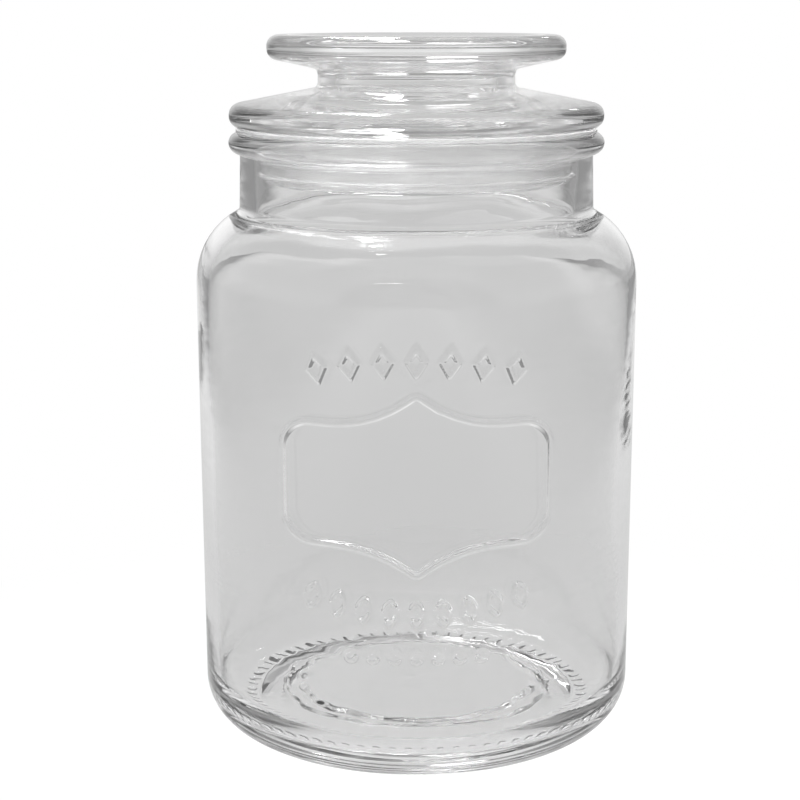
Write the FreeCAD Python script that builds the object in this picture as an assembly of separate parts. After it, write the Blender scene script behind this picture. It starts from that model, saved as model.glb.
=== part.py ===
import FreeCAD, Part

import math
import os

from FreeCAD import Vector

# A clear glass storage jar with a knobbed glass lid and a ribbed plastic seal between them.
# Millimetres. +Z is up, the origin is the middle of the base on the surface it stands on,
# and the relief on the wall faces -Y.

# Jar: overall sizes
body_r = 65.0             # outer radius at the top of the straight wall
body_draft = 0.4          # how much narrower the straight wall is at its foot
jar_height = 178.0        # from the standing surface to the top of the rim
shoulder_width = 13.0     # from the straight wall in to the foot of the neck
shoulder_slope = 27.6     # degrees above level where the shoulder runs into the neck
shoulder_round = 22.6
neck_height = 22.5        # from the foot of the neck to the top of the rim
neck_draft = 0.5          # how much narrower the neck is under its bead
neck_foot_round = 2.0
bead_height = 5.9
bead_reach = 3.25         # how far the bead stands out from the neck
bead_foot_round = 0.6
heel_round = 14.0

# Jar: thickness of the glass
wall = 3.6
shoulder_wall = 4.0
neck_wall = 4.2
base_thickness = 6.0
heel_inner_round = 11.0
mouth_round = 1.6
neck_inner_round = 6.2

# Jar: underside and floor
foot_width = 2.0          # flat ring between the heel and the push-up
foot_inner_round = 3.0
push_up_height = 3.8      # rise of the underside above its foot ring
push_up_width = 10.5      # from the foot ring in to the flat of the push-up
push_up_round = 16.0
bar_height = 0.25         # the foot's short radial bars stand down this far
bar_inset = 1.5           # from the foot ring's inner edge out to the bars
bar_length = 3.4
bar_width = 1.8
bar_root = 2.0            # how far each bar reaches up into the glass
bar_count = 72
floor_step = 1.6          # the middle of the floor is raised by this much
floor_step_width = 3.0
floor_step_round = 2.0

# Relief on the front of the wall, drawn flat on XZ about its own middle
relief_height = 0.9
relief_rise = 13.0        # middle of the label frame above the middle of the straight wall
frame_half_width = 36.5
frame_half_height = 16.8
frame_peak = 8.3          # the frame's pointed top and bottom stand out this far
frame_peak_run = 12.2
frame_peak_round = 36.0
frame_corner_round = 8.0
frame_tip_round = 2.0
frame_ridge = 2.2
upper_row_rise = 34.2     # middle of the upper row above the middle of the frame
upper_row_radius = 143.0
upper_row_pitch = 9.0
lozenge_count = 7
lozenge_width = 6.6
lozenge_height = 10.4
lozenge_ridge = 1.7
lozenge_round = 0.8
lower_row_drop = 36.0
lower_row_radius = 109.0
lower_row_pitch = 7.2
leaf_count = 9
leaf_width = 4.8
leaf_height = 8.4
leaf_ridge = 1.3
bottom_row_drop = 48.6
bottom_row_radius = 1e6   # so large that the row is level
bottom_row_pitch = 6.0
stud_count = 7
stud_r = 1.7

# Lid
flange_height = 6.4
flange_reach = 3.0        # how far the flange stands out from the foot of the neck, less the draft
flange_round = 3.2
lid_slope = 11.0          # degrees, the lid's top towards its knob
lid_wall = 4.8
plug_depth = 16.0         # from the flange's underside down to the end of the plug
plug_wall = 4.5
plug_draft = 0.6
plug_root_round = 1.0
plug_end_round = 2.0
plug_inner_round = 6.0
knob_neck_r = 28.7
knob_neck_height = 5.2
knob_neck_wall = 5.0
knob_neck_round = 1.8
hollow_foot_round = 4.0
hollow_top_round = 6.0
knob_r = 43.35
knob_slope = 12.3         # degrees, the underside of the knob's disc
knob_edge_height = 6.6
knob_edge_round = 3.25
dish_depth = 1.4          # the knob's top is dished this far
dish_r = 33.0
dish_round = 12.0
dish_edge_width = 4.5     # from the dish's flat out to the knob's highest ring
dish_edge_round = 3.0
knob_top_wall = 5.2

# Seal
seal_lip_thickness = 1.4
seal_lip_reach = 1.1      # the lip's edge beyond the outside of the neck
seal_round = 0.4
seal_skirt_wall = 1.6
seal_skirt_depth = 13.4
seal_rib_count = 3
seal_rib_pitch = 4.0
seal_rib_first = 3.6      # first rib's middle below the rim
seal_rib_thickness = 1.3
seal_rib_reach = 1.6      # from the skirt out to a rib's edge
seal_rib_round = 0.3
seal_clearance = 0.3      # between the skirt and the plug, and between the ribs and the mouth

# Sizes that follow from the ones above
neck_r = body_r - shoulder_width
neck_foot_z = jar_height - neck_height
slope_run = math.tan(math.radians(shoulder_slope))
slope_drop = shoulder_wall / math.cos(math.radians(shoulder_slope))
shoulder_corner_z = neck_foot_z - shoulder_width * slope_run
wall_top_z = shoulder_corner_z - shoulder_round * math.tan(math.radians(45 - shoulder_slope / 2))
foot_z = bar_height
neck_top_r = neck_r - neck_draft
mouth_r = neck_top_r - neck_wall
floor_z = foot_z + push_up_height + base_thickness - floor_step
foot_inner_r = body_r - body_draft - heel_round - foot_width
push_up_r = foot_inner_r - push_up_width
relief_z = (foot_z + heel_round + wall_top_z) / 2 + relief_rise
rib_r = mouth_r - seal_clearance
skirt_r = rib_r - seal_rib_reach
skirt_inner_r = skirt_r - seal_skirt_wall
plug_r = skirt_inner_r - seal_clearance
flange_z = jar_height + seal_lip_thickness


def rounded_outline(corners):
    """Closed wire on XZ through (x, z, rounding) corners, each rounded by a tangent arc.

    A rounding is made smaller where the straight sides next to it are too short for it.
    """
    count = len(corners)
    points = [Vector(x, 0, z) for x, z, rounding in corners]
    sides = [points[(i + 1) % count] - points[i] for i in range(count)]
    along = [Vector(side).normalize() for side in sides]
    half_turns = [along[i - 1].getAngle(along[i]) / 2 for i in range(count)]
    setbacks = [corners[i][2] * math.tan(half_turns[i]) for i in range(count)]
    shares = [1.0] * count
    for i, side in enumerate(sides):
        wanted = setbacks[i] + setbacks[(i + 1) % count]
        if wanted > 0.98 * side.Length:
            shares[i] = 0.98 * side.Length / wanted
    setbacks = [setbacks[i] * min(shares[i - 1], shares[i]) for i in range(count)]
    edges = []
    for i in range(count):
        arc_start = points[i] - along[i - 1] * setbacks[i]
        arc_end = points[i] + along[i] * setbacks[i]
        next_start = points[(i + 1) % count] - along[i] * setbacks[(i + 1) % count]
        if setbacks[i] > 0:
            radius = setbacks[i] / math.tan(half_turns[i])
            inward = Vector(along[i] - along[i - 1]).normalize()
            arc_middle = points[i] + inward * (radius / math.cos(half_turns[i]) - radius)
            edges.append(Part.Arc(arc_start, arc_middle, arc_end).toShape())
        edges.append(Part.LineSegment(arc_end, next_start).toShape())
    return Part.Wire(edges)


def turned(corners):
    """Solid of revolution about Z from (radius, height, rounding) corners."""
    return Part.Face(rounded_outline(corners)).revolve(Vector(0, 0, 0), Vector(0, 0, 1), 360)


def jar_outside():
    """Corners of the jar's outside, from the foot ring up to the top of the bead."""
    bead_r_outer = neck_top_r + bead_reach
    bead_foot_z = jar_height - bead_height
    return [
        (body_r - body_draft, foot_z, heel_round),
        (body_r, shoulder_corner_z, shoulder_round),
        (neck_r, neck_foot_z, neck_foot_round),
        (neck_top_r, bead_foot_z, bead_foot_round),
        (bead_r_outer, bead_foot_z, bead_height / 2),
        (bead_r_outer, jar_height, bead_height / 2),
    ]


def jar_inside():
    """Corners of the jar's inside, from the mouth down to the middle of the floor."""
    inner_r = body_r - wall
    neck_inner_r = neck_r - neck_wall
    junction_z = neck_foot_z + neck_wall * slope_run - slope_drop
    corner_z = shoulder_corner_z + wall * slope_run - slope_drop
    return [
        (mouth_r, jar_height, mouth_round),
        (neck_inner_r, junction_z, neck_inner_round),
        (inner_r, corner_z, shoulder_round - shoulder_wall),
        (inner_r - body_draft, floor_z, heel_inner_round),
        (push_up_r + floor_step_width, floor_z, floor_step_round),
        (push_up_r, floor_z + floor_step, floor_step_round),
        (0, floor_z + floor_step, 0),
    ]


def jar_underside():
    """Corners of the jar's underside, from its middle out to the foot ring."""
    return [
        (0, foot_z + push_up_height, 0),
        (push_up_r, foot_z + push_up_height, push_up_round),
        (foot_inner_r, foot_z, foot_inner_round),
    ]


def foot_bars():
    """Short radial bars under the foot ring, which the jar stands on."""
    corner = Vector(foot_inner_r + bar_inset, -bar_width / 2, 0)
    bar = Part.makeBox(bar_length, bar_width, bar_height + bar_root, corner)
    bars = []
    for index in range(bar_count):
        turned_bar = bar.copy()
        turned_bar.rotate(Vector(0, 0, 0), Vector(0, 0, 1), index * 360 / bar_count)
        bars.append(turned_bar)
    return bars


def ring_face(wire, ridge):
    """Flat band of the given width centred on a closed wire."""
    outer = Part.Face(wire.makeOffset2D(ridge / 2))
    inner = Part.Face(wire.makeOffset2D(-ridge / 2))
    return outer.cut(inner).Faces[0]


def label_frame():
    """Bracket frame: a rounded rectangle with a shallow peak at its top and bottom."""
    right = [
        (0, frame_half_height + frame_peak, frame_tip_round),
        (frame_peak_run, frame_half_height, frame_peak_round),
        (frame_half_width, frame_half_height, frame_corner_round),
    ]
    lower_right = [(x, -z, rounding) for x, z, rounding in reversed(right)]
    left = [(-x, z, rounding) for x, z, rounding in reversed(right[1:])]
    lower_left = [(-x, -z, rounding) for x, z, rounding in right[1:]]
    return ring_face(rounded_outline(right + lower_right + lower_left + left), frame_ridge)


def lozenge():
    """Upright hollow lozenge."""
    corners = [
        (0, lozenge_height / 2, lozenge_round),
        (lozenge_width / 2, 0, lozenge_round),
        (0, -lozenge_height / 2, lozenge_round),
        (-lozenge_width / 2, 0, lozenge_round),
    ]
    outer = rounded_outline(corners)
    inner = outer.makeOffset2D(-lozenge_ridge)
    return Part.Face(outer).cut(Part.Face(inner)).Faces[0]


def pointed_oval(width, height):
    """Upright face between two arcs that meet in a point at the top and the bottom."""
    top = Vector(0, 0, height / 2)
    bottom = Vector(0, 0, -height / 2)
    right = Part.Arc(top, Vector(width / 2, 0, 0), bottom).toShape()
    left = Part.Arc(bottom, Vector(-width / 2, 0, 0), top).toShape()
    return Part.Face(Part.Wire([right, left]))


def leaf():
    """Upright hollow leaf, whose inner arcs share their centres with the outer ones."""
    arc_r = (leaf_width ** 2 + leaf_height ** 2) / (4 * leaf_width)
    centre_x = arc_r - leaf_width / 2
    inner_height = 2 * math.sqrt((arc_r - leaf_ridge) ** 2 - centre_x ** 2)
    inner = pointed_oval(leaf_width - 2 * leaf_ridge, inner_height)
    return pointed_oval(leaf_width, leaf_height).cut(inner).Faces[0]


def dot(radius):
    """Small flat disc."""
    return Part.Face(Part.Wire(Part.makeCircle(radius, Vector(0, 0, 0), Vector(0, 1, 0))))


def row(motif, count, pitch, radius, middle_z):
    """Copies of a motif along an arc; a positive radius arches up and a negative one hangs down."""
    copies = []
    for index in range(count):
        angle = (index - (count - 1) / 2) * pitch / radius
        copy = motif.copy()
        copy.rotate(Vector(0, 0, 0), Vector(0, 1, 0), math.degrees(angle))
        copy.translate(Vector(radius * math.sin(angle), 0, middle_z - radius * (1 - math.cos(angle))))
        copies.append(copy)
    return copies


def relief_drawing():
    """All the faces of the front relief, flat on XZ about the middle of the frame."""
    faces = [label_frame()]
    faces += row(lozenge(), lozenge_count, upper_row_pitch, upper_row_radius, upper_row_rise)
    faces += row(leaf(), leaf_count, lower_row_pitch, -lower_row_radius, -lower_row_drop)
    faces += row(dot(stud_r), stud_count, bottom_row_pitch, bottom_row_radius, -bottom_row_drop)
    return faces


def relief():
    """The drawing carried onto the front of the wall as low pads of even height."""
    outside = jar_outside()[:3]
    over = [(r + relief_height, z, rounding) for r, z, rounding in outside]
    under = [(r - wall / 2, z, rounding) for r, z, rounding in reversed(outside)]
    skin = turned(over + under)
    pads = []
    for face in relief_drawing():
        face.translate(Vector(0, 0, relief_z))
        pads += face.extrude(Vector(0, -2 * body_r, 0)).common(skin).Solids
    return pads


def make_jar():
    """Glass jar with its foot bars and front relief, as one piece of glass."""
    glass = turned(jar_underside() + jar_outside() + jar_inside())
    return glass.multiFuse(foot_bars() + relief()).Solids[0]


def make_lid():
    """Pressed glass lid: flange, sloping top, waisted knob and a plug, hollow from below."""
    flange_r = neck_top_r + flange_reach
    lid_run = math.tan(math.radians(lid_slope))
    knob_run = math.tan(math.radians(knob_slope))
    flange_top_z = flange_z + flange_height
    waist_z = flange_top_z + (flange_r - knob_neck_r) * lid_run
    disc_z = waist_z + knob_neck_height
    knob_edge_z = disc_z + (knob_r - knob_neck_r) * knob_run
    knob_top_z = knob_edge_z + knob_edge_height
    plug_end_z = flange_z - plug_depth
    plug_inner_r = plug_r - plug_wall
    hollow_r = knob_neck_r - knob_neck_wall
    under_drop = flange_top_z - lid_wall / math.cos(math.radians(lid_slope))
    plug_corner_z = under_drop + (flange_r - plug_inner_r) * lid_run
    hollow_corner_z = under_drop + (flange_r - hollow_r) * lid_run
    hollow_top_z = knob_top_z - dish_depth - knob_top_wall
    return turned([
        (0, knob_top_z - dish_depth, 0),
        (dish_r, knob_top_z - dish_depth, dish_round),
        (dish_r + dish_edge_width, knob_top_z, dish_edge_round),
        (knob_r, knob_top_z, knob_edge_round),
        (knob_r, knob_edge_z, knob_edge_round),
        (knob_neck_r, disc_z, knob_neck_round),
        (knob_neck_r, waist_z, knob_neck_round),
        (flange_r, flange_top_z, flange_round),
        (flange_r, flange_z, flange_round),
        (plug_r, flange_z, plug_root_round),
        (plug_r - plug_draft, plug_end_z, plug_end_round),
        (plug_inner_r - plug_draft, plug_end_z, plug_end_round),
        (plug_inner_r, plug_corner_z, plug_inner_round),
        (hollow_r, hollow_corner_z, hollow_foot_round),
        (hollow_r - plug_draft, hollow_top_z, hollow_top_round),
        (0, hollow_top_z, 0),
    ])


def make_seal():
    """Plastic seal: a lip on the rim and a ribbed skirt between the plug and the mouth."""
    lip_r = neck_top_r + seal_lip_reach
    skirt_end_z = jar_height - seal_skirt_depth
    corners = [
        (skirt_inner_r, skirt_end_z, seal_round),
        (skirt_inner_r, flange_z, plug_root_round),
        (lip_r, flange_z, seal_round),
        (lip_r, jar_height, seal_round),
        (skirt_r, jar_height, seal_round),
    ]
    for index in range(seal_rib_count):
        rib_z = jar_height - seal_rib_first - index * seal_rib_pitch
        corners.append((skirt_r, rib_z + seal_rib_thickness / 2, seal_rib_round))
        corners.append((rib_r, rib_z, seal_rib_round))
        corners.append((skirt_r, rib_z - seal_rib_thickness / 2, seal_rib_round))
    corners.append((skirt_r, skirt_end_z, seal_round))
    return turned(corners)


os.makedirs("parts", exist_ok=True)
make_jar().exportStep("parts/jar.step")
make_lid().exportStep("parts/lid.step")
make_seal().exportStep("parts/seal_ring.step")
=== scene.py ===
"""A clear glass storage jar with a raised label frame, its knobbed glass lid and its plastic seal.

The three solids are replaced by finer surfaces worked out from the same sizes: each is a stack of
rings round the axis, whose radius and height follow a profile. Lengths are in millimetres until a
mesh is made, and in metres for the stage, the lamps and the camera. Angles are measured from the
front (-Y) towards +X.
"""

import math

import bpy
import numpy as np
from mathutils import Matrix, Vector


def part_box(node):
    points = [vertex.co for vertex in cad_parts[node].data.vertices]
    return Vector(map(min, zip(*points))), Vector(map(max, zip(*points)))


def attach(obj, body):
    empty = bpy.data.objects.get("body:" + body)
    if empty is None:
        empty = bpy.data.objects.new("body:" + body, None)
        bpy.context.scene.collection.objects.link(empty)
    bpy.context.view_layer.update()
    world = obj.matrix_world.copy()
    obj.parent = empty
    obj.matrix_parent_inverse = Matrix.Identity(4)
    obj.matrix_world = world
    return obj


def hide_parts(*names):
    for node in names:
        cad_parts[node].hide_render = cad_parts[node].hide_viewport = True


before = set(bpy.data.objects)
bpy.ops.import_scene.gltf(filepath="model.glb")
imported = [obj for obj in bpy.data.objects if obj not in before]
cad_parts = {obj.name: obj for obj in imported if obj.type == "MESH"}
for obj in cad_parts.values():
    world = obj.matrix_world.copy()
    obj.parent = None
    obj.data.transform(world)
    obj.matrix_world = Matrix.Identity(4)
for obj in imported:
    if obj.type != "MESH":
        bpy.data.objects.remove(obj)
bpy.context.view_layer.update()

MM = 0.001
near_axis = 1.0           # radius of the last ring before a surface closes on the axis

# ---------------------------------------------------------------- sizes of the jar

jar_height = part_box("jar")[1][2] / MM
body_r = 65.0
body_draft = 0.4          # the wall is this much narrower at the heel
shoulder_width = 13.0
shoulder_slope = math.radians(27.6)
shoulder_round = 22.6
neck_height = 22.5
neck_draft = 0.5          # the neck is this much narrower at the top
neck_foot_round = 2.0
bead_height = 5.9
bead_reach = 3.25
bead_round = bead_height / 2 - 0.02
bead_foot_round = 0.6
heel_round = 14.0
wall = 3.6
shoulder_wall = 4.0
neck_wall = 4.2
neck_inner_round = 6.2
mouth_round = 1.6
crown_outer = 1.7         # the rim's outer and inner profiles end this far outside the mouth
crown_inner = 1.65
base_thickness = 6.0
heel_inner_round = 11.0
foot_width = 2.0
foot_inner_round = 3.0
push_up_height = 3.8
push_up_width = 10.5
push_up_round = 16.0
bar_height = 0.25
bar_inset = 1.5
bar_length = 3.4
bar_width = 1.8
bar_count = 72
bar_margin_in = 0.7       # the rings before and after the bars stop this far from their ends
bar_margin_out = 0.8

# Sizes that follow from the ones above
neck_r = body_r - shoulder_width
neck_top_r = neck_r - neck_draft
mouth_r = neck_top_r - neck_wall
neck_foot_z = jar_height - neck_height
slope_run = math.tan(shoulder_slope)
slope_drop = shoulder_wall / math.cos(shoulder_slope)
shoulder_corner_z = neck_foot_z - shoulder_width * slope_run
wall_top_z = shoulder_corner_z - shoulder_round * math.tan(math.pi / 4 - shoulder_slope / 2)
heel_top_z = bar_height + heel_round
foot_inner_r = body_r - body_draft - heel_round - foot_width
bar_inner_r = foot_inner_r + bar_inset
bar_outer_r = bar_inner_r + bar_length
push_up_r = foot_inner_r - push_up_width

# Unevenness of the inside
wall_ripple = 0.22
wall_seed = 7
mouth_calm = 12.0         # no ripple this far down from the rim, and all of it a fade lower
mouth_fade = 20.0
floor_calm = -1.0         # the same from the floor up
floor_fade = 12.0
floor_ripple = 0.05
floor_seed = 5

# The floor's two uneven steps, the outer one first
floor_step = 1.6          # height of both together
floor_z = bar_height + push_up_height + base_thickness - floor_step
step_places = [(2.0, 0.9, 3), (-2.6, 1.1, 11)]    # from the push-up's edge, wandering and seed
step_widths = [(2.4, 0.8, 8), (2.8, 0.9, 9)]      # width, wandering and seed
place_turns = (2, 30)     # the waves that make a step's place and its width wander
width_turns = (2, 5)
least_width = 1.0
steps_outer = 7.6         # the rings of the steps lie between these, from the push-up's edge
steps_inner = -7.4
steps_row = 0.36          # distance between them
floor_outer = 8.0         # where the profile of the inside ends, and the middle of the floor begins
floor_inner = -8.5
floor_row_count = 14

# ---------------------------------------------------------------- sizes of the relief

relief_height = 0.9
relief_rise = 13.0        # the frame's middle lies this far above the middle of the wall
relief_z = (heel_top_z + wall_top_z) / 2 + relief_rise
frame_half_width = 36.5
frame_half_height = 16.8
frame_peak = 8.3
frame_peak_run = 12.2
frame_peak_round = 36.0
frame_corner_round = 8.0
frame_tip_round = 2.0
frame_ridge = 2.2
upper_row_rise = 34.2
upper_row_radius = 143.0
upper_row_pitch = 9.0
lozenge_count = 7
lozenge_width = 6.6
lozenge_height = 10.4
lozenge_ridge = 1.7
lower_row_drop = 36.0
lower_row_radius = 109.0
lower_row_pitch = 7.2
leaf_count = 9
leaf_width = 4.8
leaf_height = 8.4
leaf_ridge = 1.3
bottom_row_drop = 48.6
bottom_row_radius = 1e6   # so large that the row is straight
bottom_row_pitch = 6.0
stud_count = 7
stud_r = 1.7
ridge_flank = 1.1         # width over which a raised edge falls to the wall
flank_lead = 0.2          # share of the flank that lies outside the edge

# The grid under the relief, in bands of height from the frame's middle
fine = 0.42
coarse = 1.2
relief_bands = [
    (-52.0, -45.6, fine),       # the studs
    (-45.6, -42.2, coarse),
    (-42.2, -7.5, fine),        # the leaves and the frame's lower edge
    (-7.5, 7.5, coarse),        # the frame's upright sides
    (7.8, 40.5, fine),          # the frame's upper edge and the lozenges
]
row_gap = 0.5             # least distance from the grid to the next ring of the wall
column_gap = 0.02         # the same to the next column, in radians

# ---------------------------------------------------------------- sizes of the lid and the seal

flange_height = 6.4
flange_reach = 3.0
flange_round = 3.18
lid_slope = math.radians(11.0)
lid_wall = 4.8
plug_depth = 16.0
plug_wall = 4.5
plug_draft = 0.6
plug_end_round = 1.9
plug_root_round = 1.0
plug_inner_round = 6.0
hollow_foot_round = 4.0
hollow_top_round = 6.0
knob_neck_r = 28.7
knob_neck_height = 5.2
knob_neck_wall = 5.0
knob_neck_round = 1.8
knob_r = 43.35
knob_slope = math.radians(12.3)
knob_edge_height = 6.6
knob_edge_round = 3.25
knob_top_wall = 5.2
dish_depth = 1.4
dish_r = 33.0
dish_run = 4.5            # width of the slope from the dish's flat up to the knob's top
dish_top_round = 3.0
dish_foot_round = 12.0
seal_lip_thickness = 1.4
seal_lip_reach = 1.1
seal_skirt_wall = 1.6
seal_skirt_depth = 13.4
seal_rib_count = 3
seal_rib_pitch = 4.0
seal_rib_first = 3.6
seal_rib_thickness = 1.3
seal_rib_reach = 1.6
seal_rib_round = 0.3
seal_rib_root_round = 0.15
seal_round = 0.4
seal_clearance = 0.3
seal_seam = 0.5           # the seal's outline starts and ends on the skirt's inside, this far apart
air_film = 0.04           # thin air left between the seal's lip and the glass it touches

# Sizes that follow from the ones above
rib_r = mouth_r - seal_clearance
skirt_r = rib_r - seal_rib_reach
skirt_inner_r = skirt_r - seal_skirt_wall
plug_r = skirt_inner_r - seal_clearance
flange_z = jar_height + seal_lip_thickness

# ---------------------------------------------------------------- how finely they are divided

# The largest turn and the longest run between two points of an outline
arc_turn = math.radians(7)
run_length = 4.0
jar_run_length = 6.0
lid_arc_turn = math.radians(5)
lid_run_length = 3.0
seal_arc_turn = math.radians(20)
frame_run_length = 50.0
straight = 1e-6           # half the turn, in radians, under which a corner needs no arc

# Columns all round
jar_columns = 180
lid_columns = 192
seal_columns = 160
same_angle = 1e-9         # columns closer than this, in radians, are one


# ---------------------------------------------------------------- profiles and rings

def smooth(t):
    """S-shaped change from 0 to 1 while t does the same, and level outside."""
    t = np.clip(t, 0, 1)
    return t * t * (3 - 2 * t)


def outline(corners, arc_step=arc_turn, run_step=run_length):
    """Points along an open profile of (radius, height, rounding) corners.

    Each rounding is the tangent arc of that radius. Its centre lies on the line that halves the
    corner, at the radius over the cosine of half the turn. Arcs and runs are divided evenly.
    """
    points = [np.array(corners[0][:2], float)]
    for before, here, after in zip(corners, corners[1:], corners[2:]):
        corner, rounding = np.array(here[:2], float), here[2]
        along_in = corner - np.array(before[:2])
        along_out = np.array(after[:2]) - corner
        along_in /= np.hypot(*along_in)
        along_out /= np.hypot(*along_out)
        half_turn = math.acos(np.clip(along_in @ along_out, -1, 1)) / 2
        if rounding == 0 or half_turn < straight:
            points.append(corner)
            continue
        inward = (along_out - along_in) / np.hypot(*(along_out - along_in))
        forward = (along_in + along_out) / np.hypot(*(along_in + along_out))
        centre = corner + inward * rounding / math.cos(half_turn)
        count = max(2, math.ceil(2 * half_turn / arc_step))
        sweep = np.linspace(-half_turn, half_turn, count + 1)[:, None]
        points += list(centre - rounding * (inward * np.cos(sweep) - forward * np.sin(sweep)))
    points.append(np.array(corners[-1][:2], float))
    path = [points[0]]
    for start, end in zip(points, points[1:]):
        pieces = max(1, math.ceil(np.hypot(*(end - start)) / run_step))
        path += [start + (end - start) * (k + 1) / pieces for k in range(pieces)]
    return np.array(path)


def even_angles(count):
    """Angles all round, evenly spaced, starting at the back."""
    return -math.pi + 2 * math.pi * np.arange(count) / count


def ring(angles, radius, height):
    """One closed ring round the axis, as its angles and its points.

    A point's place is the radius times the sine of its angle, less the radius times the cosine,
    and the height.
    """
    radius = np.broadcast_to(radius, angles.shape)
    height = np.broadcast_to(height, angles.shape)
    return angles, np.stack([radius * np.sin(angles), -radius * np.cos(angles), height], axis=1)


def pole(height):
    """A ring that has shrunk to one point on the axis."""
    return np.array([-math.pi]), np.array([[0.0, 0.0, height]])


def strip(lower, upper, lower_start, upper_start):
    """Faces between two neighbouring rings, which may be divided differently.

    Rings with the same angles give quads. Otherwise every edge of one ring is joined to the point
    of the other ring that was passed last, so the triangles close the strip without a gap.
    """
    low, up = np.arange(len(lower)), np.arange(len(upper))
    low_next, up_next = (low + 1) % len(low), (up + 1) % len(up)
    if len(low) == len(up) and np.allclose(lower, upper):
        below = [low + lower_start, low_next + lower_start]
        above = [low_next + upper_start, low + upper_start]
        return np.stack(below + above, axis=1), np.empty((0, 3), int)
    triangles = []
    if len(low) > 1:
        edge_end = np.append(lower[1:], math.pi)
        apex = np.searchsorted(upper, edge_end - same_angle) - 1
        edge = [low + lower_start, low_next + lower_start]
        triangles.append(np.stack(edge + [apex + upper_start], axis=1))
    if len(up) > 1:
        edge_end = np.append(upper[1:], math.pi)
        apex = np.searchsorted(np.append(lower, math.pi), edge_end + same_angle) - 1
        edge = [up_next + upper_start, up + upper_start]
        triangles.append(np.stack([apex % len(low) + lower_start] + edge, axis=1))
    return np.empty((0, 4), int), np.concatenate(triangles)


def ring_mesh(name, rings, closed=False):
    """Mesh object through a stack of rings, walked so that the faces point outwards."""
    starts = np.cumsum([0] + [len(points) for _, points in rings])
    pairs = [(k, k + 1) for k in range(len(rings) - 1)]
    if closed:
        pairs.append((len(rings) - 1, 0))
    strips = [strip(rings[low][0], rings[up][0], starts[low], starts[up]) for low, up in pairs]
    quads = np.concatenate([some_quads for some_quads, _ in strips])
    triangles = np.concatenate([some_triangles for _, some_triangles in strips])
    vertices = np.concatenate([points for _, points in rings]) * MM
    corners = np.concatenate([quads.ravel(), triangles.ravel()])
    sizes = np.concatenate([np.full(len(quads), 4), np.full(len(triangles), 3)])
    mesh = bpy.data.meshes.new(name)
    mesh.vertices.add(len(vertices))
    mesh.vertices.foreach_set("co", vertices.ravel().astype(np.float32))
    mesh.loops.add(len(corners))
    mesh.loops.foreach_set("vertex_index", corners.astype(np.int32))
    mesh.polygons.add(len(sizes))
    mesh.polygons.foreach_set("loop_start", (np.cumsum(sizes) - sizes).astype(np.int32))
    mesh.polygons.foreach_set("loop_total", sizes.astype(np.int32))
    mesh.update(calc_edges=True)
    mesh.validate()
    mesh.shade_smooth()
    piece = bpy.data.objects.new(name, mesh)
    bpy.context.scene.collection.objects.link(piece)
    return piece


# ---------------------------------------------------------------- relief on the front

def raised(distance):
    """Height of the relief: 1 well inside an edge and 0 outside it, with a smooth flank.

    The distance is signed, negative inside, and the flank begins a little outside the edge.
    """
    return smooth(flank_lead - distance / ridge_flank)


def path_distance(x, z, path):
    """Shortest distance from each point to a closed path of straight steps."""
    start = path[:-1]
    step = path[1:] - start
    best = np.full(x.shape, np.inf)
    for (px, pz), (sx, sz) in zip(start, step):
        t = np.clip(((x - px) * sx + (z - pz) * sz) / (sx * sx + sz * sz), 0, 1)
        best = np.minimum(best, (x - px - t * sx) ** 2 + (z - pz - t * sz) ** 2)
    return np.sqrt(best)


def frame_path():
    """Bracket frame: a rounded rectangle with a shallow peak at its top and bottom.

    The quarter to the upper right is mirrored across and down.
    """
    right = [
        (0, frame_half_height + frame_peak, frame_tip_round),
        (frame_peak_run, frame_half_height, frame_peak_round),
        (frame_half_width, frame_half_height, frame_corner_round),
    ]
    lower_right = [(x, -z, rounding) for x, z, rounding in reversed(right)]
    left = [(-x, z, rounding) for x, z, rounding in reversed(right[1:])]
    lower_left = [(-x, -z, rounding) for x, z, rounding in right[1:]]
    around = right[1:] + lower_right + lower_left + left
    middle = ((right[0][0] + right[1][0]) / 2, (right[0][1] + right[1][1]) / 2, 0)
    return outline([middle] + around + [right[0], middle], run_step=frame_run_length)


def along_row(x, z, index, count, pitch, radius, middle_z):
    """Coordinates of each point in the frame of one motif of an arched row, upright on the arc."""
    angle = (index - (count - 1) / 2) * pitch / radius
    sine, cosine = math.sin(angle), math.cos(angle)
    dx = x - radius * sine
    dz = z - (middle_z - radius * (1 - cosine))
    return dx * cosine - dz * sine, dx * sine + dz * cosine


def lozenge_relief(dx, dz):
    """Ridge along the four sides of an upright lozenge, from the distance to the nearest side."""
    a, b = lozenge_width / 2, lozenge_height / 2
    edge = (np.abs(dx) * b + np.abs(dz) * a - a * b) / math.hypot(a, b)
    return raised(np.abs(edge + lozenge_ridge / 2) - lozenge_ridge / 2)


def leaf_relief(dx, dz):
    """Ridge along the edge of a pointed oval, from the distance to the edge of the farther of two
    equal discs that overlap in it.
    """
    a, b = leaf_width / 2, leaf_height / 2
    disc = (a * a + b * b) / (2 * a)
    edge = np.hypot(np.abs(dx) + disc - a, dz) - disc
    return raised(np.abs(edge + leaf_ridge / 2) - leaf_ridge / 2)


def stud_relief(dx, dz):
    """Round stud, raised where the distance to its middle is less than its radius."""
    return raised(np.hypot(dx, dz) - stud_r)


def relief(x, z):
    """Height of the raised ornament over the wall, from 0 to 1, at places on the front.

    x is across and z is up from the middle of the label frame, both as seen from the front.
    """
    height = raised(path_distance(x, z, frame_path()) - frame_ridge / 2)
    rows = (
        (lozenge_relief, lozenge_count, upper_row_pitch, upper_row_radius, upper_row_rise),
        (leaf_relief, leaf_count, lower_row_pitch, -lower_row_radius, -lower_row_drop),
        (stud_relief, stud_count, bottom_row_pitch, bottom_row_radius, -bottom_row_drop),
    )
    for motif, count, *row in rows:
        for index in range(count):
            height = np.maximum(height, motif(*along_row(x, z, index, count, *row)))
    return height


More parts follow.
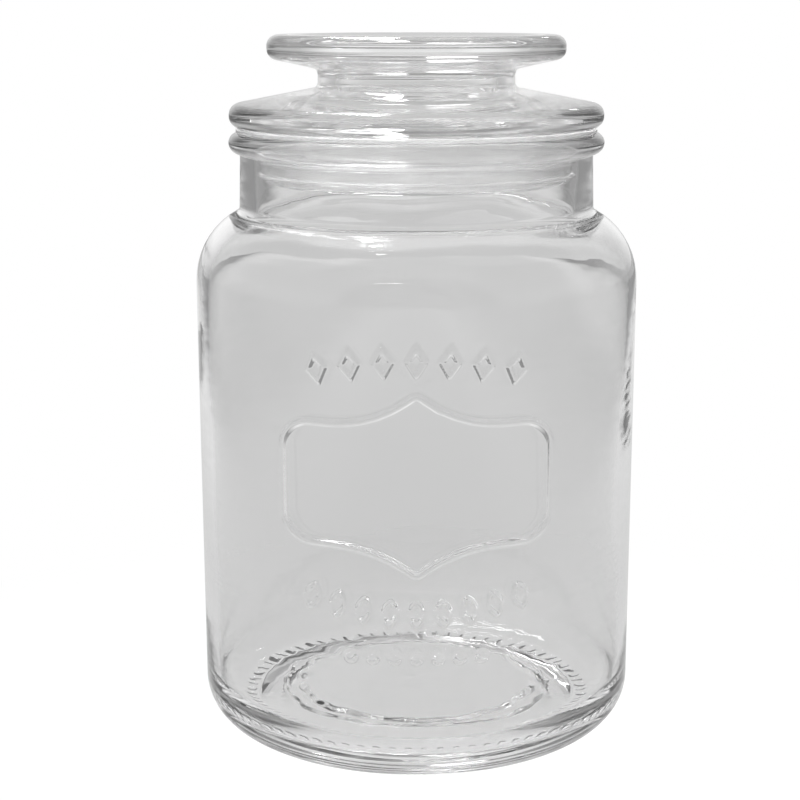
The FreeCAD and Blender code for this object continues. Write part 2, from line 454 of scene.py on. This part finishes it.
# ---------------------------------------------------------------- jar

def ripple(angles, height, size, seed, turns=(2, 9), lengths=(35.0, 120.0), waves=9):
    """Smooth unevenness of blown glass: a sum of slow waves round and up the wall."""
    chance = np.random.default_rng(seed)
    total = np.zeros(np.broadcast(angles, height).shape)
    for _ in range(waves):
        around = chance.integers(*turns)
        along = 2 * math.pi / chance.uniform(*lengths) * chance.choice([-1, 1])
        total = total + np.sin(around * angles + along * height + chance.uniform(0, 2 * math.pi))
    return size * total / waves ** 0.5


def wandering(angles, seed, turns, least=0.4, fall=0.6):
    """Closed uneven line round the axis: a few sine waves whose size falls with their number."""
    chance = np.random.default_rng(seed)
    total = np.zeros_like(angles)
    for around in range(*turns):
        wave = np.sin(around * angles + chance.uniform(0, 2 * math.pi))
        total += wave * chance.uniform(least, 1) / around ** fall
    return total


def under_rings(columns):
    """Underside: a profile carried round the axis, from the push-up's flat over its curve down to
    the inner edge of the foot ring.
    """
    push_up_z = bar_height + push_up_height
    foot = outline([
        (near_axis / 2, push_up_z, 0),
        (push_up_r, push_up_z, push_up_round),
        (foot_inner_r, bar_height, foot_inner_round),
        (bar_inner_r - bar_margin_in, bar_height, 0),
    ])
    return [pole(push_up_z)] + [ring(columns, r, z) for r, z in foot]


def heel_height(r):
    """Height of the rounded heel at a radius: the lower quarter of its arc."""
    centre_r = body_r - body_draft - heel_round
    reach = np.clip(r - centre_r, 0, heel_round)
    return bar_height + heel_round - np.sqrt(heel_round ** 2 - reach ** 2)


def foot_rings():
    """Foot ring with its short radial bars, which stand down from it to the standing surface.

    The height is that of the heel, less its share in a bar: a squared cosine across the bar, times
    a share that rises and falls over the bar's ends.
    """
    pitch = 2 * math.pi / bar_count
    half = bar_width / 2 / (bar_inner_r + bar_length / 2)
    steps = np.array([-1.5, -1.0, -0.5, 0, 0.5, 1.0, 1.5])      # across a bar, in half widths
    across = np.append(-pitch / 2, steps * half)
    columns = -math.pi + pitch / 2 + (np.arange(bar_count)[:, None] * pitch + across).ravel()
    on_bar = np.tile(np.append(0, np.cos(steps * math.pi / 3) ** 2), bar_count)
    # along a bar from its inner end, and how much of its height it has there
    along = [
        (-0.4, 0), (-0.05, 0.6), (0.3, 1), (0.8, 1), (1.7, 1), (2.6, 1), (3.1, 1),
        (bar_length + 0.05, 0.6), (bar_length + 0.4, 0),
    ]
    rings = []
    for step, share in along:
        r = bar_inner_r + step
        rings.append(ring(columns, r, heel_height(r) * (1 - on_bar * share)))
    return rings


def wall_rings(columns):
    """Heel, straight wall, shoulder, neck and bead: a profile carried round the axis.

    On the front of the wall the relief's height is added to the profile's radius, on a finer grid.
    """
    bead_r = neck_top_r + bead_reach
    bead_foot_z = jar_height - bead_height
    profile = outline([
        (foot_inner_r, bar_height, 0),
        (body_r - body_draft, bar_height, heel_round),
        (body_r, shoulder_corner_z, shoulder_round),
        (neck_r, neck_foot_z, neck_foot_round),
        (neck_top_r, bead_foot_z, bead_foot_round),
        (bead_r, bead_foot_z, bead_round),
        (bead_r, jar_height, bead_round),
        (mouth_r + crown_outer, jar_height, 0),
    ], run_step=jar_run_length)
    profile_r, profile_z = profile.T
    rows = relief_z + np.concatenate([np.arange(*band) for band in relief_bands])
    reach = math.asin((frame_half_width + frame_ridge / 2 + ridge_flank) / body_r)
    fine_columns = np.arange(-reach, reach, fine / body_r)
    side_columns = columns[::2][np.abs(columns[::2]) > reach + column_gap]
    relief_columns = np.sort(np.concatenate([side_columns, fine_columns]))
    on_wall = profile_r > body_r - 1      # where the profile only rises
    wall_r = np.interp(rows, profile_z[on_wall], profile_r[on_wall])
    x = wall_r[:, None] * np.sin(relief_columns)
    z = np.broadcast_to(rows[:, None] - relief_z, x.shape)
    front = np.cos(relief_columns) > 0
    height = relief(x, z) * front * relief_height
    below = (profile_r > bar_outer_r + bar_margin_out) & (profile_z < rows[0] - row_gap)
    above = profile_z > rows[-1] + row_gap
    return (
        [ring(columns, r, z) for r, z in profile[below]]
        + [ring(relief_columns, r + h, z) for r, z, h in zip(wall_r, rows, height)]
        + [ring(columns, r, z) for r, z in profile[above]]
    )


def inner_rings(columns):
    """Inside of the jar: mouth, neck, shoulder, wall, heel and floor, carried round the axis.

    A slow ripple is added to the wall's radius. The floor rises inwards over two smooth steps,
    whose radius and width wander with the angle.
    """
    inner_r = body_r - wall
    neck_inner_r = neck_r - neck_wall
    junction_z = neck_foot_z + neck_wall * slope_run - slope_drop
    corner_z = shoulder_corner_z + wall * slope_run - slope_drop
    profile = outline([
        (mouth_r + crown_inner, jar_height, 0),
        (mouth_r, jar_height, mouth_round),
        (neck_inner_r, junction_z, neck_inner_round),
        (inner_r, corner_z, shoulder_round - shoulder_wall),
        (inner_r - body_draft, floor_z, heel_inner_round),
        (push_up_r + floor_outer, floor_z, 0),
    ], run_step=jar_run_length)
    rings = []
    for r, z in profile:
        share = np.clip((jar_height - mouth_calm - z) / mouth_fade, 0, 1)
        share = share * np.clip((z - floor_z - floor_calm) / floor_fade, 0, 1)
        rings.append(ring(columns, r + share * ripple(columns, z, wall_ripple, wall_seed), z))
    places = [
        push_up_r + place + sway * wandering(columns, seed, place_turns)
        for place, sway, seed in step_places
    ]
    widths = [
        np.maximum(width + sway * wandering(columns, seed, width_turns), least_width)
        for width, sway, seed in step_widths
    ]
    for r in np.arange(push_up_r + steps_outer, push_up_r + steps_inner, -steps_row):
        lift = sum(smooth((place - r) / width + 0.5) for place, width in zip(places, widths)) / 2
        rings.append(ring(columns, r, floor_z + floor_step * lift))
    top_z = floor_z + floor_step
    for r in np.linspace(push_up_r + floor_inner, near_axis, floor_row_count):
        uneven = ripple(columns, r, floor_ripple, floor_seed, turns=(1, 4))
        rings.append(ring(columns, r, top_z + uneven))
    return rings + [pole(top_z)]


def make_jar():
    """The whole jar as one closed skin of glass."""
    columns = even_angles(jar_columns)
    rings = under_rings(columns) + foot_rings() + wall_rings(columns) + inner_rings(columns)
    return ring_mesh("jar_glass", rings)


# ---------------------------------------------------------------- lid and seal

def make_lid():
    """Pressed lid: a profile carried round the axis, from the middle of its hollow round the plug
    and the flange up to the dished knob.
    """
    flange_r = neck_top_r + flange_reach
    lid_run = math.tan(lid_slope)
    flange_top_z = flange_z + flange_height
    waist_z = flange_top_z + (flange_r - knob_neck_r) * lid_run
    disc_z = waist_z + knob_neck_height
    knob_edge_z = disc_z + (knob_r - knob_neck_r) * math.tan(knob_slope)
    knob_top_z = knob_edge_z + knob_edge_height
    dish_z = knob_top_z - dish_depth
    plug_end_z = flange_z - plug_depth
    plug_inner_r = plug_r - plug_wall
    hollow_r = knob_neck_r - knob_neck_wall
    hollow_top_z = dish_z - knob_top_wall
    under_z = flange_top_z - lid_wall / math.cos(lid_slope)
    profile = outline([
        (near_axis, hollow_top_z, 0),
        (hollow_r - plug_draft, hollow_top_z, hollow_top_round),
        (hollow_r, under_z + (flange_r - hollow_r) * lid_run, hollow_foot_round),
        (plug_inner_r, under_z + (flange_r - plug_inner_r) * lid_run, plug_inner_round),
        (plug_inner_r - plug_draft, plug_end_z, plug_end_round),
        (plug_r - plug_draft, plug_end_z, plug_end_round),
        (plug_r, flange_z, plug_root_round),
        (flange_r, flange_z, flange_round),
        (flange_r, flange_top_z, flange_round),
        (knob_neck_r, waist_z, knob_neck_round),
        (knob_neck_r, disc_z, knob_neck_round),
        (knob_r, knob_edge_z, knob_edge_round),
        (knob_r, knob_top_z, knob_edge_round),
        (dish_r + dish_run, knob_top_z, dish_top_round),
        (dish_r, dish_z, dish_foot_round),
        (near_axis, dish_z, 0),
    ], arc_step=lid_arc_turn, run_step=lid_run_length)
    columns = even_angles(lid_columns)
    rings = [ring(columns, r, z) for r, z in profile]
    return ring_mesh("lid_glass", [pole(hollow_top_z)] + rings + [pole(dish_z)])


def make_seal():
    """Plastic seal: a closed loop carried round the axis, which is a lip on the rim and a ribbed
    skirt inside the mouth.
    """
    lip_r = neck_top_r + seal_lip_reach
    lip_z = jar_height + air_film
    lip_top_z = flange_z - air_film
    end_z = jar_height - seal_skirt_depth
    seam_z = (end_z + jar_height) / 2
    corners = [
        (skirt_inner_r, seam_z, 0),
        (skirt_inner_r, end_z, seal_round),
        (skirt_r, end_z, seal_round),
    ]
    for index in reversed(range(seal_rib_count)):
        rib_z = jar_height - seal_rib_first - index * seal_rib_pitch
        corners += [
            (skirt_r, rib_z - seal_rib_thickness / 2, seal_rib_root_round),
            (rib_r, rib_z, seal_rib_round),
            (skirt_r, rib_z + seal_rib_thickness / 2, seal_rib_root_round),
        ]
    corners += [
        (skirt_r, lip_z, seal_round),
        (lip_r, lip_z, seal_round),
        (lip_r, lip_top_z, seal_round),
        (skirt_inner_r, lip_top_z, plug_root_round),
        (skirt_inner_r, seam_z + seal_seam, 0),
    ]
    columns = even_angles(seal_columns)
    profile = outline(corners, arc_step=seal_arc_turn)
    return ring_mesh("seal_plastic", [ring(columns, r, z) for r, z in profile], closed=True)


# ---------------------------------------------------------------- nodes

def grey(level):
    """Neutral grey of one level, as a colour."""
    return (level, level, level, 1)


def new_node(nodes, kind, **values):
    """New node with some of its inputs set; a space in an input's name is written as _."""
    node = nodes.new("ShaderNode" + kind)
    for name, value in values.items():
        node.inputs[name.replace("_", " ")].default_value = value
    return node


def combined(nodes, links, operation, first, second):
    """One Math node over two sockets, or over a socket and a number."""
    node = new_node(nodes, "Math")
    node.operation = operation
    links.new(first, node.inputs[0])
    if isinstance(second, float):
        node.inputs[1].default_value = second
    else:
        links.new(second, node.inputs[1])
    return node.outputs[0]


def ramp(nodes, links, source, low, high, start, end):
    """Smooth change from one factor to another while the source passes from low to high."""
    step = new_node(nodes, "MapRange", From_Min=low, From_Max=high, To_Min=start, To_Max=end)
    step.interpolation_type = "SMOOTHSTEP"
    links.new(source, step.inputs["Value"])
    return step.outputs["Result"]


def show(nodes, links, output, factor, first, second):
    """Sends the first shader to the output where the factor is 0, and the second where it is 1."""
    mix = new_node(nodes, "MixShader")
    links.new(factor, mix.inputs["Fac"])
    links.new(first, mix.inputs[1])
    links.new(second, mix.inputs[2])
    links.new(mix.outputs["Shader"], output.inputs["Surface"])


# ---------------------------------------------------------------- materials

glass_passes = 0.93       # share of the lamps' light that glass and plastic let through
plastic_passes = 0.6


def new_material(name):
    """Empty node material with its output node."""
    material = bpy.data.materials.new(name)
    material.use_nodes = True
    nodes = material.node_tree.nodes
    nodes.clear()
    output = new_node(nodes, "OutputMaterial")
    return material, nodes, material.node_tree.links, output


def lets_lamps_through(shader, passed, nodes, links, output):
    """Shows the shader, but lets the lamps' light pass, so that it casts only a faint shadow."""
    path = new_node(nodes, "LightPath")
    clear = new_node(nodes, "BsdfTransparent", Color=grey(passed))
    show(nodes, links, output, path.outputs["Is Shadow Ray"],
         shader.outputs["BSDF"], clear.outputs["BSDF"])


def clear_glass(name, tint, ripple_strength):
    """Soda-lime glass: clear, smooth, faintly grey, with slow ripples that run round the wall."""
    material, nodes, links, output = new_material(name)
    shader = new_node(nodes, "BsdfPrincipled", Base_Color=grey(tint), Transmission_Weight=1.0,
                      Roughness=0.0, IOR=1.5)
    place = new_node(nodes, "TexCoord")
    stretch = new_node(nodes, "Mapping", Scale=(1, 1, 4))
    waves = new_node(nodes, "TexNoise", Scale=60.0, Detail=1.0)
    bump = new_node(nodes, "Bump", Strength=ripple_strength, Distance=0.0006)
    links.new(place.outputs["Object"], stretch.inputs["Vector"])
    links.new(stretch.outputs["Vector"], waves.inputs["Vector"])
    links.new(waves.outputs["Fac"], bump.inputs["Height"])
    links.new(bump.outputs["Normal"], shader.inputs["Normal"])
    lets_lamps_through(shader, glass_passes, nodes, links, output)
    return material


def soft_plastic(name):
    """Pale translucent plastic, slightly glossy."""
    material, nodes, links, output = new_material(name)
    shader = new_node(nodes, "BsdfPrincipled", Base_Color=grey(0.98), Transmission_Weight=0.88,
                      Roughness=0.15, IOR=1.45)
    lets_lamps_through(shader, plastic_passes, nodes, links, output)
    return material


# ---------------------------------------------------------------- stage

glass_view = 0.72         # how bright the white backdrop is where it is seen in or through glass
beside_rise = 1.14        # how much brighter it grows beside the jar
front_fall = 0.8          # what is left of it on the camera's side

# How the backdrop seen in and through glass changes from place to place. Each row says along
# which axis, where the change starts and ends, and the factors before and after it. The side axis
# is the distance to the left or right. A direction's parts run from -1 to 1, and the floor's
# places are in metres.
wall_changes = [
    ("Z", 0.0, 0.1, 1.0, 1.25),             # brighter just above the horizon
    ("Z", 0.15, 0.35, 1.0, 0.75),
    ("Z", 0.5, 0.85, 1.0, 0.5),             # and darker towards the ceiling
    ("side", 0.12, 0.26, 1.0, beside_rise),
    ("side", 0.3, 0.65, 1.0, 0.55),
    ("Y", -0.6, 0.1, front_fall, 1.0),
    ("Y", -0.8, -0.7, 0.05, 1.0),           # nearly dark behind the camera
]
floor_changes = [
    ("side", 0.15, 0.27, 1.0, beside_rise),
    ("side", 0.28, 0.56, 1.0, 0.35),
    ("Y", -0.6, -0.1, front_fall, 1.0),
    ("Y", 0.08, 0.85, 0.955, 1.07),         # slowly brighter away from the camera
]
fade_to_white = (0.07, 0.2, 0.85, 1.0)      # how the floor's paper passes into the glow round it
floor_reach = 4.0
floor_drop = 0.0002       # the floor lies just under the foot
paper_seen = 0.8          # grey of the floor's paper as the camera sees it, and the same paper painted darker where the glass sees it: painted shade
paper_painted_darker_in_glass = 0.5
room_light = 0.75         # light of the room on all that is not glass

# The key light overhead, in slats from back to front: how far back, length and width in m
key_slats = [
    (0.95, 0.12, 0.30),
    (0.70, 0.12, 0.30),
    (0.45, 0.10, 0.24),
    (0.25, 0.08, 0.20),
    (0.08, 0.06, 0.12),
    (-0.06, 0.05, 0.07),
]
key_watts = 90            # power of each slat for a square metre of it
lamps_aim_z = 0.1         # height of the place that the lamps face

camera_back = 0.5387
camera_height = 0.2142
camera_dip = 12.207       # degrees below the level


def backdrop_level(nodes, links, place, changes):
    """Brightness of the backdrop: 1 where it is seen directly, and in and through glass what the
    changes make of the glass view.
    """
    parts = new_node(nodes, "SeparateXYZ")
    links.new(place, parts.inputs["Vector"])
    axes = {
        "side": combined(nodes, links, "ABSOLUTE", parts.outputs["X"], 0.0),
        "Y": parts.outputs["Y"],
        "Z": parts.outputs["Z"],
    }
    factors = [ramp(nodes, links, axes[axis], *change) for axis, *change in changes]
    path = new_node(nodes, "LightPath")
    glossy, through = path.outputs["Is Glossy Ray"], path.outputs["Is Transmission Ray"]
    in_glass = combined(nodes, links, "MAXIMUM", glossy, through)
    shade = combined(nodes, links, "MULTIPLY", in_glass, glass_view)
    for factor in factors:
        shade = combined(nodes, links, "MULTIPLY", shade, factor)
    return combined(nodes, links, "MAXIMUM", path.outputs["Is Camera Ray"], shade)


def make_floor():
    """Wide white floor, which passes into the white backdrop away from the jar."""
    edges = [(-1, -1), (1, -1), (1, 1), (-1, 1)]
    mesh = bpy.data.meshes.new("floor")
    mesh.from_pydata([(x * floor_reach, y * floor_reach, -floor_drop) for x, y in edges],
                     [], [(0, 1, 2, 3)])
    floor = bpy.data.objects.new("floor", mesh)
    bpy.context.scene.collection.objects.link(floor)
    material, nodes, links, output = new_material("floor_paper")
    place = new_node(nodes, "TexCoord").outputs["Object"]
    level = backdrop_level(nodes, links, place, floor_changes)
    # The paper's own grey for the camera, and painted shade, a darker grey, where it is seen in or
    # through glass
    paper = new_node(nodes, "Mix")
    paper.data_type = "RGBA"
    paper.inputs["A"].default_value = grey(paper_painted_darker_in_glass)
    paper.inputs["B"].default_value = grey(paper_seen)
    path = new_node(nodes, "LightPath")
    links.new(path.outputs["Is Camera Ray"], paper.inputs["Factor"])
    shader = new_node(nodes, "BsdfDiffuse")
    links.new(paper.outputs["Result"], shader.inputs["Color"])
    glow = new_node(nodes, "Emission", Color=grey(1))
    links.new(level, glow.inputs["Strength"])
    distance = new_node(nodes, "VectorMath")
    distance.operation = "LENGTH"
    links.new(place, distance.inputs[0])
    away = ramp(nodes, links, distance.outputs["Value"], *fade_to_white)
    show(nodes, links, output, away, shader.outputs["BSDF"], glow.outputs["Emission"])
    mesh.materials.append(material)


def make_world():
    """Soft studio room: a white backdrop for the camera and the glass, and an even light for
    everything else.
    """
    world = bpy.data.worlds.new("studio")
    bpy.context.scene.world = world
    world.use_nodes = True
    nodes, links = world.node_tree.nodes, world.node_tree.links
    nodes.clear()
    output = new_node(nodes, "OutputWorld")
    direction = new_node(nodes, "TexCoord").outputs["Generated"]
    level = backdrop_level(nodes, links, direction, wall_changes)
    white = new_node(nodes, "Background", Color=grey(1))
    links.new(level, white.inputs["Strength"])
    room = new_node(nodes, "Background", Color=grey(1), Strength=room_light)
    path = new_node(nodes, "LightPath")
    show(nodes, links, output, path.outputs["Is Diffuse Ray"],
         white.outputs["Background"], room.outputs["Background"])


def softbox(name, azimuth, elevation, width, height, power, behind=0.0):
    """Rectangular lamp 1 m away, facing the jar, which it returns; azimuth is from the front.

    It may stand further back, square to the direction that its angles give.
    """
    lamp = bpy.data.lights.new(name, "AREA")
    lamp.shape = "RECTANGLE"
    lamp.size = width
    lamp.size_y = height
    lamp.energy = power
    holder = bpy.data.objects.new(name, lamp)
    bpy.context.scene.collection.objects.link(holder)
    turn, rise = math.radians(azimuth), math.radians(elevation)
    holder.location = (
        math.cos(rise) * math.sin(turn),
        behind - math.cos(rise) * math.cos(turn),
        lamps_aim_z + math.sin(rise),
    )
    holder.rotation_euler = (math.pi / 2 - rise, 0, turn)
    return holder


def make_lamps():
    """The key light's slats, a thin window that shows only through glass, and a small spot."""
    for number, (behind, length, width) in enumerate(key_slats):
        softbox("key_%d" % number, azimuth=-90, elevation=78, width=length, height=width,
                power=key_watts * length * width, behind=behind)
    window = softbox("window", azimuth=-14, elevation=34, width=0.26, height=0.02, power=7)
    window.visible_glossy = False
    softbox("right_spot", azimuth=157, elevation=31, width=0.05, height=0.05, power=0.1)


def make_camera():
    """Camera a little above the rim, looking down on the jar's middle."""
    data = bpy.data.cameras.new("camera")
    data.lens = 82.25
    data.sensor_width = 36.0
    data.shift_x = -0.0206
    camera = bpy.data.objects.new("camera", data)
    bpy.context.scene.collection.objects.link(camera)
    camera.location = (0, -camera_back, camera_height)
    camera.rotation_euler = (math.radians(90 - camera_dip), 0, 0)
    bpy.context.scene.camera = camera


# ---------------------------------------------------------------- the scene

def dress(piece, node, material):
    """Puts a piece in place of its solid, with its material."""
    piece.data.materials.append(material)
    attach(piece, "root")
    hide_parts(node)


jar_material = clear_glass("clear_glass", tint=0.92, ripple_strength=0.08)
lid_material = clear_glass("pressed_glass", tint=0.92, ripple_strength=0.05)
dress(make_jar(), "jar", jar_material)
dress(make_lid(), "lid", lid_material)
dress(make_seal(), "seal_ring", soft_plastic("translucent_plastic"))
make_floor()
make_world()
make_lamps()
make_camera()

scene = bpy.context.scene
scene.view_settings.view_transform = "Standard"
scene.cycles.max_bounces = 32
scene.cycles.glossy_bounces = 16
scene.cycles.transmission_bounces = 24
scene.cycles.transparent_max_bounces = 16
